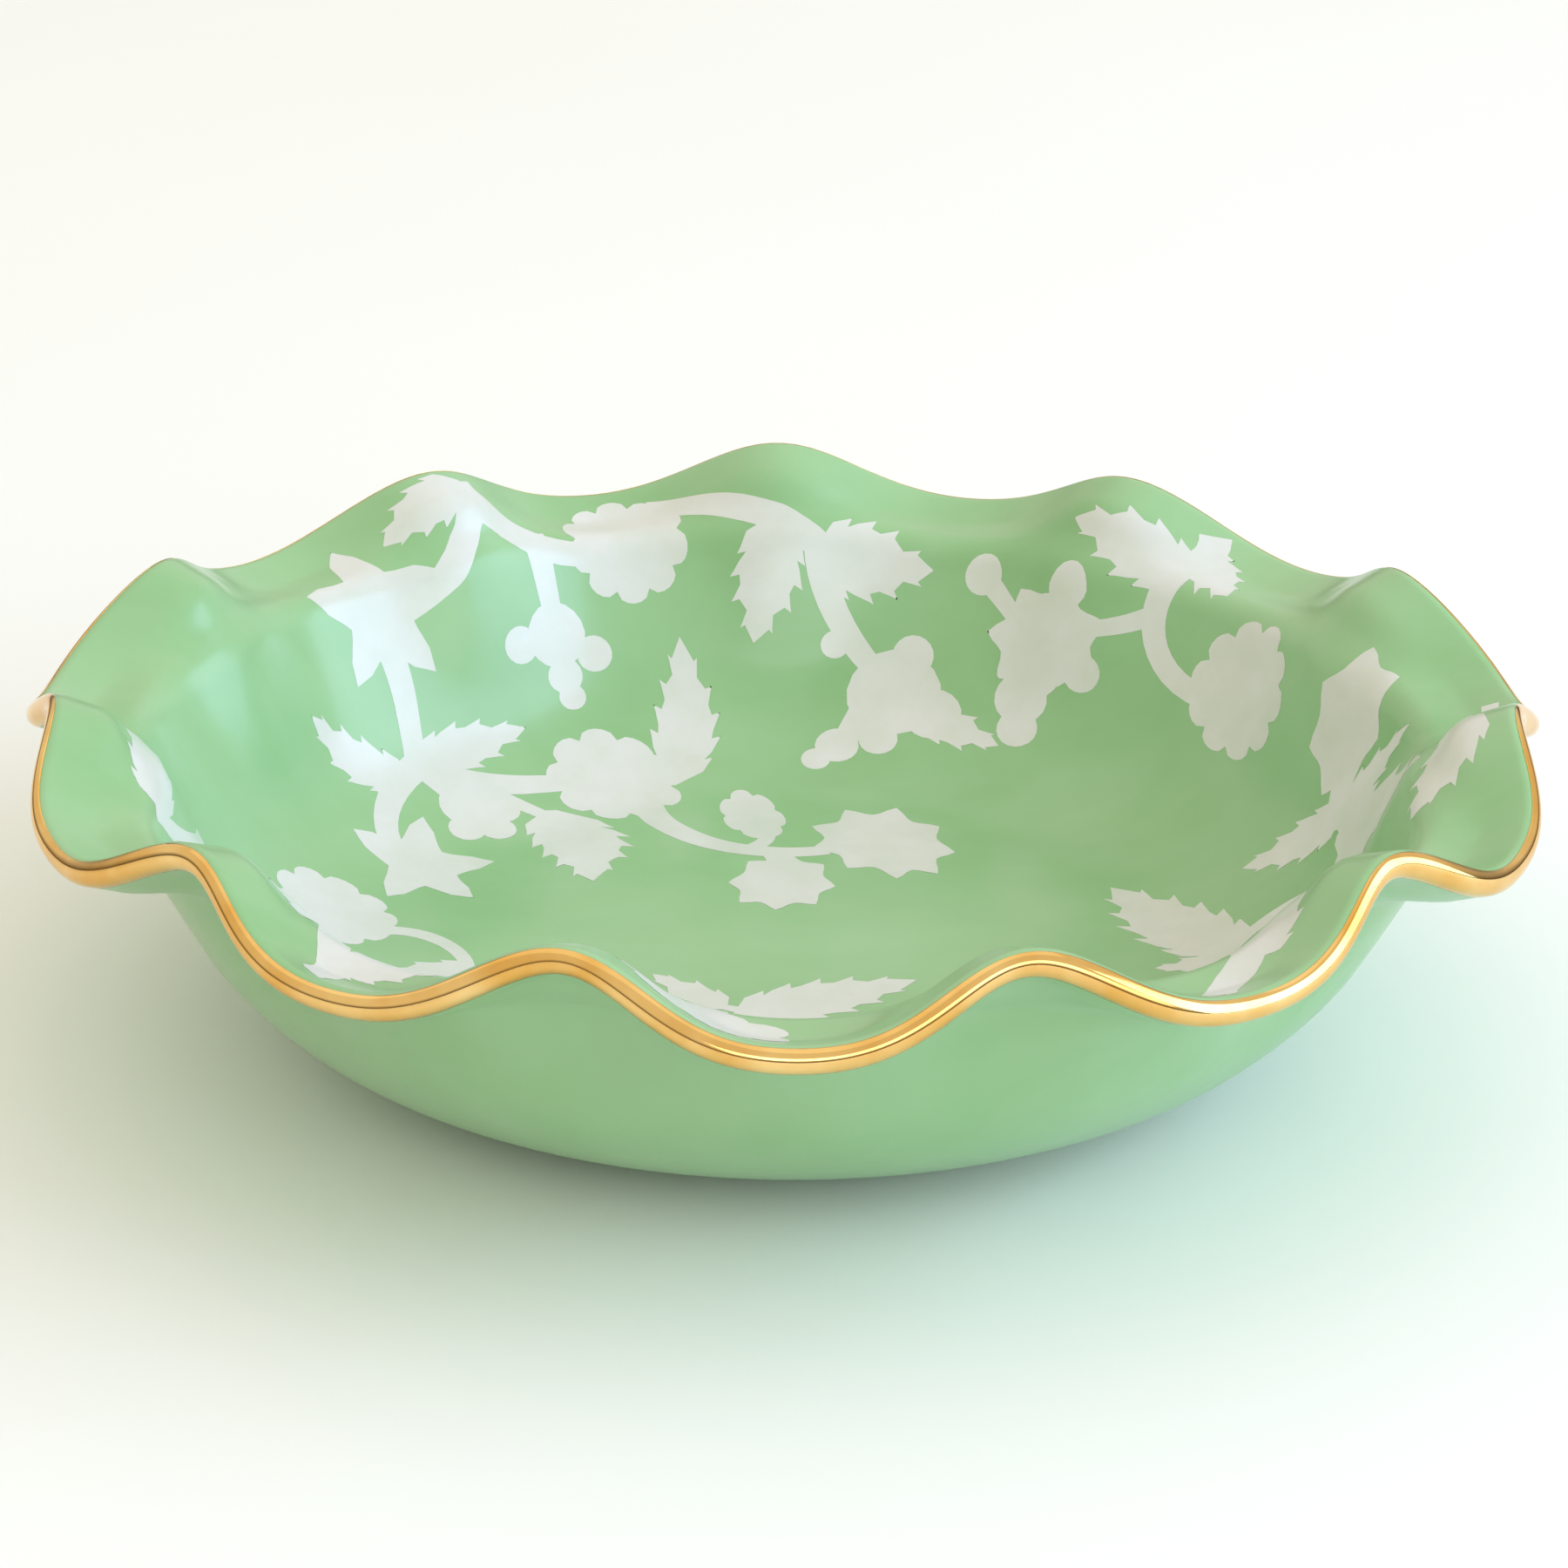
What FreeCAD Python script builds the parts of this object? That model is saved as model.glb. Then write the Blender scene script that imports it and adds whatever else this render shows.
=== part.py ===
import FreeCAD, Part
import math
import os

from FreeCAD import Vector

# Ruffled porcelain serving bowl: its clay casting, and each coat and enamel spray on it.
# Millimetres. +Z is up, and the origin is on the bowl's axis in the plane that its foot
# stands on. The front is -Y, where the middle of a dip in the ruffle is.

# Overall size. The diameter is that of the circle which the dips of the ruffle touch.
overall_diameter = 291.0
overall_height = 71.2

# Foot ring, which is part of the clay
foot_diameter = 120.0
foot_width = 4.5
foot_height = 5.4
foot_edge_radius = 1.2

# Clay sheet, from the lip down: sloping flange, shoulder, steep wall, belly, flat floor
clay_thickness = 4.4
flange_width = 15.0
flange_slope = math.radians(21.0)
shoulder_radius = 9.0
wall_slope = math.radians(65.0)
belly_radius = 42.0

# Ruffle: dips swing out and down, crests swing in and up
ruffle_count = 11
ruffle_rise = 6.2
ruffle_swing = 3.3
crest_sharpness_up = 0.12
crest_sharpness_in = 0.25
crest_angle = math.radians(90.0)

# How the ruffle dies away down the sheet
full_ruffle_width = 7.0
flute_share = 0.4
flute_length = 46.0
flute_turn_share = 0.65

# Coats
glaze_thickness = 0.25
gold_thickness = 0.1
gold_width_outside = 1.2
gold_lip_turn = math.radians(142.0)
glaze_joint = 0.5
enamel_thickness = 0.15

# Painted vine. It is drawn in degrees round the bowl and millimetres down from the lip, on
# a plain bowl of these sizes, and then stretched to fit the sheet.
vine_lip_radius = 141.0
vine_wall_taper = 0.72
vine_depth = 166.6
stem_width = 6.6
stem_taper = 0.3
stem_steps = 5
petal_points = 6
petal_point_swell = 1.25
blossom_cut = 0.16
star_cut = 0.52
leaf_base_width = 0.12
leaf_stalk_share = 0.08
leaf_toothed_share = 0.8
leaf_belly_place = 0.8
leaf_fullness = 0.7
shortest_edge = 0.02
smallest_hole = 2.0

# Corners of one tooth of a leaf: place along the leaf in teeth, and share of its half width
TOOTH_CORNERS = ((-0.55, 0.92), (-0.15, 1.04), (0.06, 1.12), (-0.06, 0.84))

# Fineness of the surfaces
columns_per_ruffle = 10
lip_steps = 12
edge_steps = 4
settling_rounds = 30
halvings = 30
hub_radius = 12.0
RING_SPACINGS = (2.0, 1.0, 2.5, 3.0, 8.0)

# The two sides of the clay sheet
OUTSIDE = 0.0
INSIDE = math.pi

lip_radius = clay_thickness / 2 + glaze_thickness + gold_thickness
rim_radius = overall_diameter / 2 - lip_radius - ruffle_swing * (1 - crest_sharpness_in)
rim_height = overall_height - lip_radius - ruffle_rise * (1 + crest_sharpness_up)
floor_height = foot_height + clay_thickness / 2

shoulder_length = shoulder_radius * (wall_slope - flange_slope)
belly_length = belly_radius * wall_slope
flange_drop = flange_width * math.sin(flange_slope)
shoulder_drop = shoulder_radius * (math.cos(flange_slope) - math.cos(wall_slope))
belly_drop = belly_radius * (1 - math.cos(wall_slope))
wall_drop = rim_height - floor_height - flange_drop - shoulder_drop - belly_drop
wall_length = wall_drop / math.sin(wall_slope)
shoulder_middle = flange_width + shoulder_length / 2
floor_start = flange_width + shoulder_length + wall_length + belly_length
floor_radius = rim_radius
floor_radius -= (flange_width * math.cos(flange_slope) + wall_length * math.cos(wall_slope))
floor_radius -= shoulder_radius * (math.sin(wall_slope) - math.sin(flange_slope))
floor_radius -= belly_radius * math.sin(wall_slope)
sheet_depth = floor_start + floor_radius
hub_start = sheet_depth - hub_radius
column_count = ruffle_count * columns_per_ruffle
column_step = 2 * math.pi / column_count

# The surfaces close on themselves at a dip that no spray crosses
seam_angle = crest_angle - 7 * math.pi / ruffle_count

# Each run of the sheet below the lip: its length, and how fast its slope turns
SHEET_RUNS = (
    (flange_width, 0.0),
    (shoulder_length, 1 / shoulder_radius),
    (wall_length, 0.0),
    (belly_length, -1 / belly_radius),
    (overall_diameter, 0.0),
)


def ease(value, start, end):
    """Go smoothly from 0 at start to 1 at end."""
    share = min(max((value - start) / (end - start), 0.0), 1.0)
    return share * share * (3 - 2 * share)


def meridian(distance):
    """Radius, height and slope of the sheet's middle before it is ruffled."""
    radius = rim_radius
    height = rim_height
    slope = flange_slope
    left = distance
    for length, bend in SHEET_RUNS:
        step = min(left, length)
        if bend == 0.0:
            radius -= step * math.cos(slope)
            height -= step * math.sin(slope)
        else:
            turned = slope + bend * step
            radius -= (math.sin(turned) - math.sin(slope)) / bend
            height += (math.cos(turned) - math.cos(slope)) / bend
            slope = turned
        left -= step
        if left == 0.0:
            break
    return radius, height, slope


def ruffle_share(distance):
    """How much of the lip's ruffle is left at a distance down from the lip."""
    flange_part = 1 - ease(distance, full_ruffle_width, shoulder_middle)
    flute_part = 1 - ease(distance, flange_width, shoulder_middle + flute_length)
    return (1 - flute_share) * flange_part + flute_share * flute_part


def sheet_point(distance, angle):
    """Point on the middle of the ruffled clay sheet."""
    radius, height, slope = meridian(distance)
    phase = ruffle_count * (angle - crest_angle)
    share = ruffle_share(distance)
    out = -share * ruffle_swing * (math.cos(phase) + crest_sharpness_in * math.cos(2 * phase))
    down = -share * ruffle_rise * (math.cos(phase) + crest_sharpness_up * math.cos(2 * phase))
    turn = flute_turn_share * (slope - flange_slope)
    radius += out * math.cos(turn) + down * math.sin(turn)
    height += out * math.sin(turn) - down * math.cos(turn)
    return Vector(radius * math.cos(angle), radius * math.sin(angle), height)


def coat_point(distance, turn, offset, angle):
    """Point at an offset from the sheet's middle: turn is 0 outside and pi inside."""
    reach = 0.01
    swing = reach / rim_radius
    around = sheet_point(distance, angle + swing) - sheet_point(distance, angle - swing)
    inward = sheet_point(distance + reach, angle) - sheet_point(distance - reach, angle)
    normal = inward.cross(around)
    normal.normalize()
    outward = normal.cross(around)
    outward.normalize()
    aim = normal * math.cos(turn) + outward * math.sin(turn)
    return sheet_point(distance, angle) + aim * offset


def spread(start, end, count):
    """Evenly spaced values from start to end, with both ends."""
    return [start + (end - start) * step / count for step in range(count + 1)]


def sheet_distances(start, end):
    """Distances down the sheet, closer together where it bends."""
    stations = [start]
    run_start = 0.0
    for (length, bend), spacing in zip(SHEET_RUNS, RING_SPACINGS):
        low = max(run_start, start)
        high = min(run_start + length, end)
        if high > low:
            stations += spread(low, high, math.ceil((high - low) / spacing))[1:]
        run_start += length
    return stations


def surface_through(rings, marks):
    """Smooth surface through closed rings of points, with a mark at each ring."""
    degree = 3 if len(rings) > 2 else 1
    columns = []
    for column in zip(*rings):
        line = Part.BSplineCurve()
        if degree == 3:
            line.interpolate(Points=list(column), Parameters=marks)
        else:
            line.buildFromPolesMultsKnots(list(column), [2, 2], marks, False, 1)
        columns.append(line.getPoles())
    poles = columns
    for _ in range(settling_rounds):
        held = poles
        poles = []
        for place, wanted in enumerate(columns):
            neighbours = zip(held[place - 1], held[place], held[(place + 1) % column_count], wanted)
            poles.append([
                here + goal - (before + here * 4 + after) / 6
                for before, here, after, goal in neighbours
            ])
    poles = poles[-1:] + poles[:-1]
    angles = [seam_angle + column_step * place for place in range(column_count + 1)]
    surface = Part.BSplineSurface()
    surface.buildFromPolesMultsKnots(
        poles,
        [1] * (column_count + 1),
        line.getMultiplicities(),
        angles,
        line.getKnots(),
        True,
        False,
        3,
        degree,
    )
    return surface


def ring(make_point):
    """Closed ring of points, one at each column round the bowl."""
    return [make_point(seam_angle + column_step * place) for place in range(column_count)]


def coat_ring(distance, turn, offset):
    """Ring that follows the ruffled sheet."""
    return ring(lambda angle: coat_point(distance, turn, offset, angle))


def plain_ring(radius, height):
    """Ring that is a plain circle."""
    return ring(lambda angle: Vector(radius * math.cos(angle), radius * math.sin(angle), height))


def side_surface(start, end, turn, offset):
    """One side of the sheet between two distances down from the lip."""
    marks = sheet_distances(start, end)
    return surface_through([coat_ring(distance, turn, offset) for distance in marks], marks)


def lip_surface(offset, end=INSIDE):
    """Round of the lip, from its outside to its inside or to an earlier turn."""
    marks = spread(OUTSIDE, end, lip_steps)
    return surface_through([coat_ring(0.0, turn, offset) for turn in marks], marks)


def step_surface(first, second):
    """Straight strip between two rings."""
    return surface_through([first, second], [0.0, 1.0])


def disc(surface, mark):
    """Flat face inside one ring of a surface."""
    return Part.Face(Part.Wire(surface.vIso(mark).toShape()))


def closed_solid(faces):
    """Solid bounded by faces that share their edges."""
    shell = Part.makeShell(faces)
    shell.sewShape()
    solid = Part.Solid(Part.Shell(shell.Faces))
    if solid.Volume < 0:
        solid.reverse()
    return solid


def underside_at(radius):
    """Distance down the sheet, and height, where its underside has a radius."""
    low = flange_width
    high = hub_start
    for _ in range(halvings):
        distance = (low + high) / 2
        middle_radius, height, slope = meridian(distance)
        if middle_radius + clay_thickness / 2 * math.sin(slope) > radius:
            low = distance
        else:
            high = distance
    return distance, height - clay_thickness / 2 * math.cos(slope)


def quarter_round(place, start_turn, radius):
    """Corners of a rounded edge in section, a quarter turn from a start."""
    turns = spread(start_turn, start_turn + math.pi / 2, edge_steps)
    return [
        (place + radius * math.cos(turn), radius + radius * math.sin(turn))
        for turn in turns
    ]


def porcelain_body():
    """Clay casting: ruffled sheet with a round lip, on a foot ring."""
    half = clay_thickness / 2
    foot_radius = foot_diameter / 2
    recess_radius = foot_radius - foot_width
    foot_start, foot_top = underside_at(foot_radius)
    recess_start, recess_top = underside_at(recess_radius)
    inner = side_surface(0.0, hub_start, INSIDE, half)
    recess = side_surface(recess_start, hub_start, OUTSIDE, half)
    edge = foot_edge_radius
    outer_edge = [plain_ring(*place) for place in quarter_round(foot_radius - edge, -math.pi / 2, edge)]
    inner_edge = [plain_ring(*place) for place in quarter_round(recess_radius + edge, math.pi, edge)]
    outer_round = surface_through(outer_edge, spread(0.0, 1.0, len(outer_edge) - 1))
    inner_round = surface_through(inner_edge, spread(0.0, 1.0, len(inner_edge) - 1))
    surfaces = [
        side_surface(0.0, foot_start, OUTSIDE, half),
        lip_surface(half),
        inner,
        step_surface(plain_ring(foot_radius, foot_top), outer_edge[-1]),
        outer_round,
        inner_round,
        step_surface(inner_edge[0], plain_ring(recess_radius, recess_top)),
        recess,
    ]
    faces = [surface.toShape() for surface in surfaces]
    faces.append(disc(inner, hub_start))
    faces.append(disc(recess, hub_start))
    faces += disc(outer_round, 0.0).cut(disc(inner_round, 1.0)).Faces
    return closed_solid(faces)


def outer_green_glaze():
    """Plain coat outside, from the foot ring up to the joint under the flange."""
    low = clay_thickness / 2
    high = low + glaze_thickness
    foot_start, foot_top = underside_at(foot_diameter / 2)
    surfaces = [
        side_surface(glaze_joint, foot_start, OUTSIDE, low),
        side_surface(glaze_joint, foot_start, OUTSIDE, high),
        step_surface(coat_ring(glaze_joint, OUTSIDE, low), coat_ring(glaze_joint, OUTSIDE, high)),
        step_surface(coat_ring(foot_start, OUTSIDE, low), coat_ring(foot_start, OUTSIDE, high)),
    ]
    return closed_solid([surface.toShape() for surface in surfaces])


def inner_green_glaze():
    """Coat inside, which goes over the lip to the joint under the flange."""
    low = clay_thickness / 2
    high = low + glaze_thickness
    surfaces = []
    for offset in (low, high):
        surfaces.append(side_surface(0.0, glaze_joint, OUTSIDE, offset))
        surfaces.append(lip_surface(offset))
        surfaces.append(side_surface(0.0, hub_start, INSIDE, offset))
    faces = [surface.toShape() for surface in surfaces]
    faces += [disc(surfaces[2], hub_start), disc(surfaces[5], hub_start)]
    joint = step_surface(
        coat_ring(glaze_joint, OUTSIDE, low),
        coat_ring(glaze_joint, OUTSIDE, high),
    )
    faces.append(joint.toShape())
    return closed_solid(faces)


def gold_rim_band():
    """Gold lustre on the glaze, from under the flange round the outer part of the lip."""
    low = clay_thickness / 2 + glaze_thickness
    high = low + gold_thickness
    surfaces = []
    for offset in (low, high):
        surfaces.append(side_surface(0.0, gold_width_outside, OUTSIDE, offset))
        surfaces.append(lip_surface(offset, gold_lip_turn))
    for distance, turn in ((gold_width_outside, OUTSIDE), (0.0, gold_lip_turn)):
        surfaces.append(
            step_surface(coat_ring(distance, turn, low), coat_ring(distance, turn, high))
        )
    return closed_solid([surface.toShape() for surface in surfaces])


def drawn_radius(down):
    """Radius of the plain bowl that the vine is drawn on, at a distance down from its lip."""
    return min(vine_lip_radius - vine_wall_taper * down, vine_depth - down)


def wall_offset(place, across, down):
    """Place that is so many millimetres to the left of and below another on the wall."""
    lower = place[1] + down
    return place[0] + math.degrees(across / drawn_radius(lower)), lower


def wall_gap(start, end):
    """Millimetres to the left and down from one place on the wall to another."""
    return math.radians(end[0] - start[0]) * drawn_radius(end[1]), end[1] - start[1]


def floor_offset(place, across, down):
    """Place that is offset in plan from another on the flat floor."""
    return place[0] + across, place[1] + down


def floor_gap(start, end):
    """Offset in plan from one place on the floor to another."""
    return end[0] - start[0], end[1] - start[1]


WALL = (wall_offset, wall_gap)
FLOOR = (floor_offset, floor_gap)


def along_axis(chart, base, tip, outline):
    """Turn an outline given as shares of an axis, and widths off it, into places."""
    offset, gap = chart
    across, down = gap(base, tip)
    length = math.hypot(across, down)
    aim = (across / length, down / length)
    side = (-aim[1], aim[0])
    places = []
    for share, width in outline:
        shift = share * length
        places.append(offset(
            base,
            aim[0] * shift + side[0] * width,
            aim[1] * shift + side[1] * width,
        ))
    return places


def leaf(base, tip, width, teeth=4, bend=0.0, chart=WALL):
    """Serrated leaf with teeth that point to its tip, and an axis that bows by a distance."""
    edge = [(0.0, leaf_base_width)]
    for tooth in range(1, teeth + 1):
        share = leaf_stalk_share + leaf_toothed_share * tooth / teeth
        swell = math.sin(math.pi * share ** leaf_belly_place) ** leaf_fullness
        edge += [(share + shift / teeth, reach * swell) for shift, reach in TOOTH_CORNERS]
    outline = [(share, reach * width / 2) for share, reach in edge]
    outline += [(1.0, 0.0)] + [(share, -reach) for share, reach in reversed(outline)]
    bowed = [(share, reach + bend * math.sin(math.pi * share)) for share, reach in outline]
    return along_axis(chart, base, tip, bowed)


def petals(base, tip, width, count, depth, point, chart=WALL):
    """Blossom of petals round an oval: depth is how deep they are cut, point how sharp."""
    offset, gap = chart
    outline = []
    for step in range(count * petal_points):
        turn = 2 * math.pi * step / (count * petal_points)
        cut = abs(math.sin(count * turn / 2)) if point else abs(math.cos(count * turn / 2))
        bulge = 1 - cut ** petal_point_swell if point else math.sqrt(cut)
        reach = 1 - depth + depth * bulge
        outline.append((0.5 + 0.5 * reach * math.cos(turn), width / 2 * reach * math.sin(turn)))
    return along_axis(chart, base, tip, outline)


def blossom(base, tip, width, count=9, chart=WALL):
    """Round-petalled blossom."""
    return petals(base, tip, width, count, blossom_cut, False, chart)


def star(base, tip, width, count=5, chart=WALL):
    """Blossom of pointed petals."""
    return petals(base, tip, width, count, star_cut, True, chart)


def lobe(place, size, chart=WALL):
    """Small round lobe of a bud."""
    offset, gap = chart
    turns = spread(0.0, 2 * math.pi, 3 * petal_points)[:-1]
    return [
        offset(place, size / 2 * math.cos(turn), size / 2 * math.sin(turn))
        for turn in turns
    ]


def stem(*places, width=stem_width, chart=WALL):
    """Stem along a smooth line through places, thinner towards its end."""
    offset, gap = chart
    route = Part.BSplineCurve()
    route.interpolate(Points=[Vector(place[0], place[1], 0) for place in places])
    steps = stem_steps * (len(places) - 1)
    sides = ([], [])
    for step in range(steps + 1):
        mark = route.FirstParameter + (route.LastParameter - route.FirstParameter) * step / steps
        middle = route.value(mark)
        ahead = middle + route.tangent(mark)[0] * 0.01
        across, down = gap((middle.x, middle.y), (ahead.x, ahead.y))
        half = width * (1 - stem_taper * step / steps) / 2 / math.hypot(across, down)
        for side, sign in zip(sides, (1, -1)):
            side.append(offset((middle.x, middle.y), -down * half * sign, across * half * sign))
    return sides[0] + sides[1][::-1]


def joined_outline(pieces):
    """Flat face made of outlines that overlap."""
    faces = []
    for places in pieces:
        corners = [Vector(place[0], place[1], 0) for place in places]
        face = Part.Face(Part.makePolygon(corners + corners[:1]))
        if face.normalAt(0, 0).z < 0:
            face = Part.Face(Part.makePolygon(corners[::-1] + corners[-1:]))
        faces.append(face)
    joined = faces[0].fuse(faces[1:])
    (outline,) = Part.makeShell(joined.Faces).removeSplitter().Faces
    holes = [wire for wire in outline.Wires[1:] if Part.Face(wire).Area > smallest_hole]
    return Part.Face([outline.OuterWire] + holes)


def lines_on(surface, wire):
    """Lines of a flat outline, laid on a side of the sheet."""
    lines = []
    corners = [vertex.Point for vertex in wire.OrderedVertexes]
    sides = zip(corners, corners[1:] + corners[:1])
    corners = [start for start, end in sides if start.distanceToPoint(end) > shortest_edge]
    for start, end in zip(corners, corners[1:] + corners[:1]):
        marks = []
        for corner in (start, end):
            angle = seam_angle + (math.radians(corner.x) - seam_angle) % (2 * math.pi)
            marks.append(FreeCAD.Base.Vector2d(angle, corner.y * sheet_depth / vine_depth))
        lines.append(Part.Geom2d.Line2dSegment(*marks).toShape(surface))
    return lines


def wall_spray(pieces):
    """Enamel spray on the inner glaze: one thin solid from outlines that overlap."""
    outline = joined_outline(pieces)
    faces = []
    rims = []
    for surface in ENAMEL_SIDES:
        loops = [lines_on(surface, wire) for wire in outline.Wires]
        face = Part.Face(surface, Part.Wire(loops[0]))
        if len(loops) > 1:
            face.cutHoles([Part.Wire(lines) for lines in loops[1:]])
        faces.append(face)
        rims.append([line for lines in loops for line in lines])
    for low_line, high_line in zip(*rims):
        faces.append(Part.makeRuledSurface(low_line, high_line))
    return closed_solid(faces)


def floor_spray(pieces):
    """Enamel spray on the flat floor, given in plan."""
    outline = joined_outline(pieces)
    outline.translate(Vector(0, 0, foot_height + clay_thickness + glaze_thickness))
    return outline.extrude(Vector(0, 0, enamel_thickness))


def back_left_vine():
    """Large vine from the lip at the back left, along the wall and down to the floor."""
    return wall_spray([
        stem((121, 3), (121.5, 12), (124, 19), (132.5, 27)),
        leaf((120.5, 3), (129.5, 12), 11),
        star((134.5, 42), (133, 6), 34),
        stem((134, 29), (134.5, 48), (137, 60)),
        leaf((138.5, 61), (148, 39), 11, 4, 1.5),
        leaf((136, 58), (120.5, 56), 11),
        stem((136.5, 58), (144, 64), (149.5, 79)),
        star((145.5, 64), (153.5, 98), 31),
        stem((136, 57), (133.5, 70)),
        lobe((133.3, 71), 13),
        lobe((136.5, 77), 8),
        lobe((132.5, 80), 8),
        lobe((129.5, 75), 8),
        stem((134, 62), (126, 69), (117, 72)),
        blossom((121, 74), (103.5, 73), 29),
        stem((131, 66), (127, 74), (123, 84), width=4.0),
        leaf((123, 79), (133.5, 112), 19, 5, 3.0),
        leaf((104.5, 77), (100.5, 40), 13, 5, -2.5),
        stem((109, 82), (107, 98), (101, 107), (94, 110.5), (80, 109)),
        stem((97, 110), (92.5, 105), (93, 96), width=4.0),
        blossom((92, 104), (95.5, 80), 13, 7),
        petals((84.5, 103), (57, 100), 35, 9, 0.22, True),
        stem((92, 110), (90, 120), width=4.0),
        petals((88, 112), (92, 141), 22, 8, 0.2, True),
        stem((121, 5), (118, 14), (113, 19.5), (106, 20)),
        blossom((105, 32), (105, 2.5), 28, 10),
        stem((115, 16), (114.5, 33)),
        lobe((114.5, 37), 14),
        lobe((119, 38), 8),
        lobe((110.3, 42), 8),
        lobe((114.2, 46), 8),
        lobe((113.8, 51), 6),
        stem((102, 8), (94, 14), (88, 19), (84, 25)),
        leaf((90, 17), (92.5, 42), 14),
        leaf((86.5, 24), (74, 24), 16),
        stem((86, 21), (84, 35), (78, 49)),
        lobe((83.8, 42), 6),
        lobe((76.5, 52), 20),
        lobe((75, 43), 9),
        lobe((71.5, 56), 12),
        leaf((73, 57), (62.5, 61), 9, 3),
        stem((79.5, 56), (82, 66)),
        lobe((82.5, 66), 9),
        lobe((85, 70), 6),
        lobe((77.5, 63.5), 8),
    ])


def back_right_vine():
    """Vine from the lip at the back right."""
    return wall_spray([
        stem((49, 2.5), (48.5, 14), (49, 26), (45, 36), (37, 38)),
        leaf((48, 16), (60, 11), 13),
        leaf((49.5, 8), (42.5, 17), 12),
        stem((48.5, 24), (52, 29), (58, 33), width=4.4),
        petals((53, 35), (67, 36), 25, 7, 0.25, True),
        lobe((60, 36), 20),
        lobe((68.5, 24), 9),
        stem((68.5, 24), (63, 34), width=5.0),
        lobe((58.5, 24), 9),
        lobe((55, 41), 8),
        lobe((61.5, 49), 12),
        lobe((61, 56), 9),
        blossom((42.5, 34), (27, 33), 29, 10),
    ])


def right_vine():
    """Leaves on the wall at the right, with a stem that runs down to a leaf near the floor."""
    return wall_spray([
        petals((13, 42), (20, 14.5), 21, 7, 0.2, True),
        stem((15, 34), (11, 46)),
        leaf((10.5, 42), (18.5, 66), 11),
        leaf((10.5, 47), (8, 19), 9),
        leaf((8, 47), (-6, 18), 19),
        stem((12, 43), (6, 45), (3, 52), (5, 64), (3.5, 74), (-1, 80), (-9, 84), width=4.2),
        leaf((1, 77), (29.5, 89.5), 20, 5, 3.5),
        leaf((0, 78), (-1.5, 94), 8, 3),
    ])


def right_lip_sprig():
    """Small leaf on a stalk, on the flange at the right."""
    return wall_spray([
        stem((8, 3.5), (0, 7.5), (-9, 8), width=3.6),
        leaf((-7, 5), (-15.5, 21), 12),
    ])


def left_floor_sprig():
    """Blossom near the floor at the left, with a curled stem."""
    return wall_spray([
        blossom((169.5, 89), (169, 61), 25),
        stem((170.5, 86), (170, 94), (175, 102), (184, 105.5), width=4.0),
        leaf((184, 107), (184.5, 88), 9, 3),
    ])


def left_lip_sprig():
    """Bent stem with a leaf, on the shoulder at the left."""
    return wall_spray([
        stem((196, 20), (192.5, 32), (181, 41)),
        leaf((195.5, 22), (182, 13), 10),
    ])


def front_vine():
    """Vine from a blossom on the flange at the front, down the wall."""
    return wall_spray([
        blossom((-90, 10), (-104, 9), 13, 7),
        stem((-97, 12), (-97, 24), (-100, 38), (-101, 64)),
        leaf((-97.5, 28), (-87, 42), 13),
        leaf((-100, 38), (-112, 22), 13),
        star((-98, 48), (-107, 84), 28),
        stem((-99.5, 46), (-91, 58), (-81, 62)),
        blossom((-85, 62), (-67, 61), 27),
        stem((-76, 70), (-74, 86), (-82, 98)),
        leaf((-75, 78), (-60, 91), 13),
        lobe((-84, 99), 10),
        lobe((-89, 98), 8),
        lobe((-86, 104), 8),
    ])


def front_left_vine():
    """Vine from the lip at the front left."""
    return wall_spray([
        stem((-126, 2.5), (-128, 14), (-134, 24), (-137, 38)),
        leaf((-127.5, 12), (-118, 20), 12),
        leaf((-132, 21), (-143, 13), 12),
        blossom((-136, 32), (-140, 60), 27, 9),
        stem((-138, 54), (-134, 68), (-121.5, 81)),
        leaf((-136, 64), (-150, 78), 13),
        star((-130, 70), (-113, 92), 26),
    ])


def front_right_vine():
    """Vine from the lip at the front right."""
    return wall_spray([
        stem((-59, 2.5), (-55, 11), (-49, 17), (-45, 43)),
        leaf((-52, 14), (-40, 17), 11),
        leaf((-48, 18), (-59, 34), 13),
        star((-48, 26), (-41, 60), 28),
        stem((-44.5, 42), (-46, 66), (-40, 78)),
        leaf((-45.5, 62), (-58, 74), 11),
        lobe((-39, 79), 12),
        lobe((-42, 85), 8),
        lobe((-37, 86), 9),
        lobe((-34, 80), 8),
    ])


def floor_sprig():
    """Long leaf and a small one in the middle of the floor."""
    return floor_spray([
        leaf((-9, -25), (26, -8), 16, 5, chart=FLOOR),
        stem((-5, -24), (-14, -20), width=3.0, chart=FLOOR),
        leaf((-11, -22), (-25, -6), 9, 3, chart=FLOOR),
    ])


PIECES = (
    porcelain_body,
    outer_green_glaze,
    inner_green_glaze,
    gold_rim_band,
    back_left_vine,
    back_right_vine,
    right_vine,
    right_lip_sprig,
    left_floor_sprig,
    left_lip_sprig,
    front_vine,
    front_left_vine,
    front_right_vine,
    floor_sprig,
)

glazed = clay_thickness / 2 + glaze_thickness
ENAMEL_SIDES = (
    side_surface(0.0, hub_start, INSIDE, glazed),
    side_surface(0.0, hub_start, INSIDE, glazed + enamel_thickness),
)

os.makedirs("parts", exist_ok=True)
for make in PIECES:
    shape = make()
    shape.exportStep("parts/" + make.__name__ + ".step")
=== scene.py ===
"""Ruffled porcelain serving bowl: glaze, gold lip and enamel vine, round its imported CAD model."""

import math

import bpy
import numpy as np
from mathutils import Matrix, Vector


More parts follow.
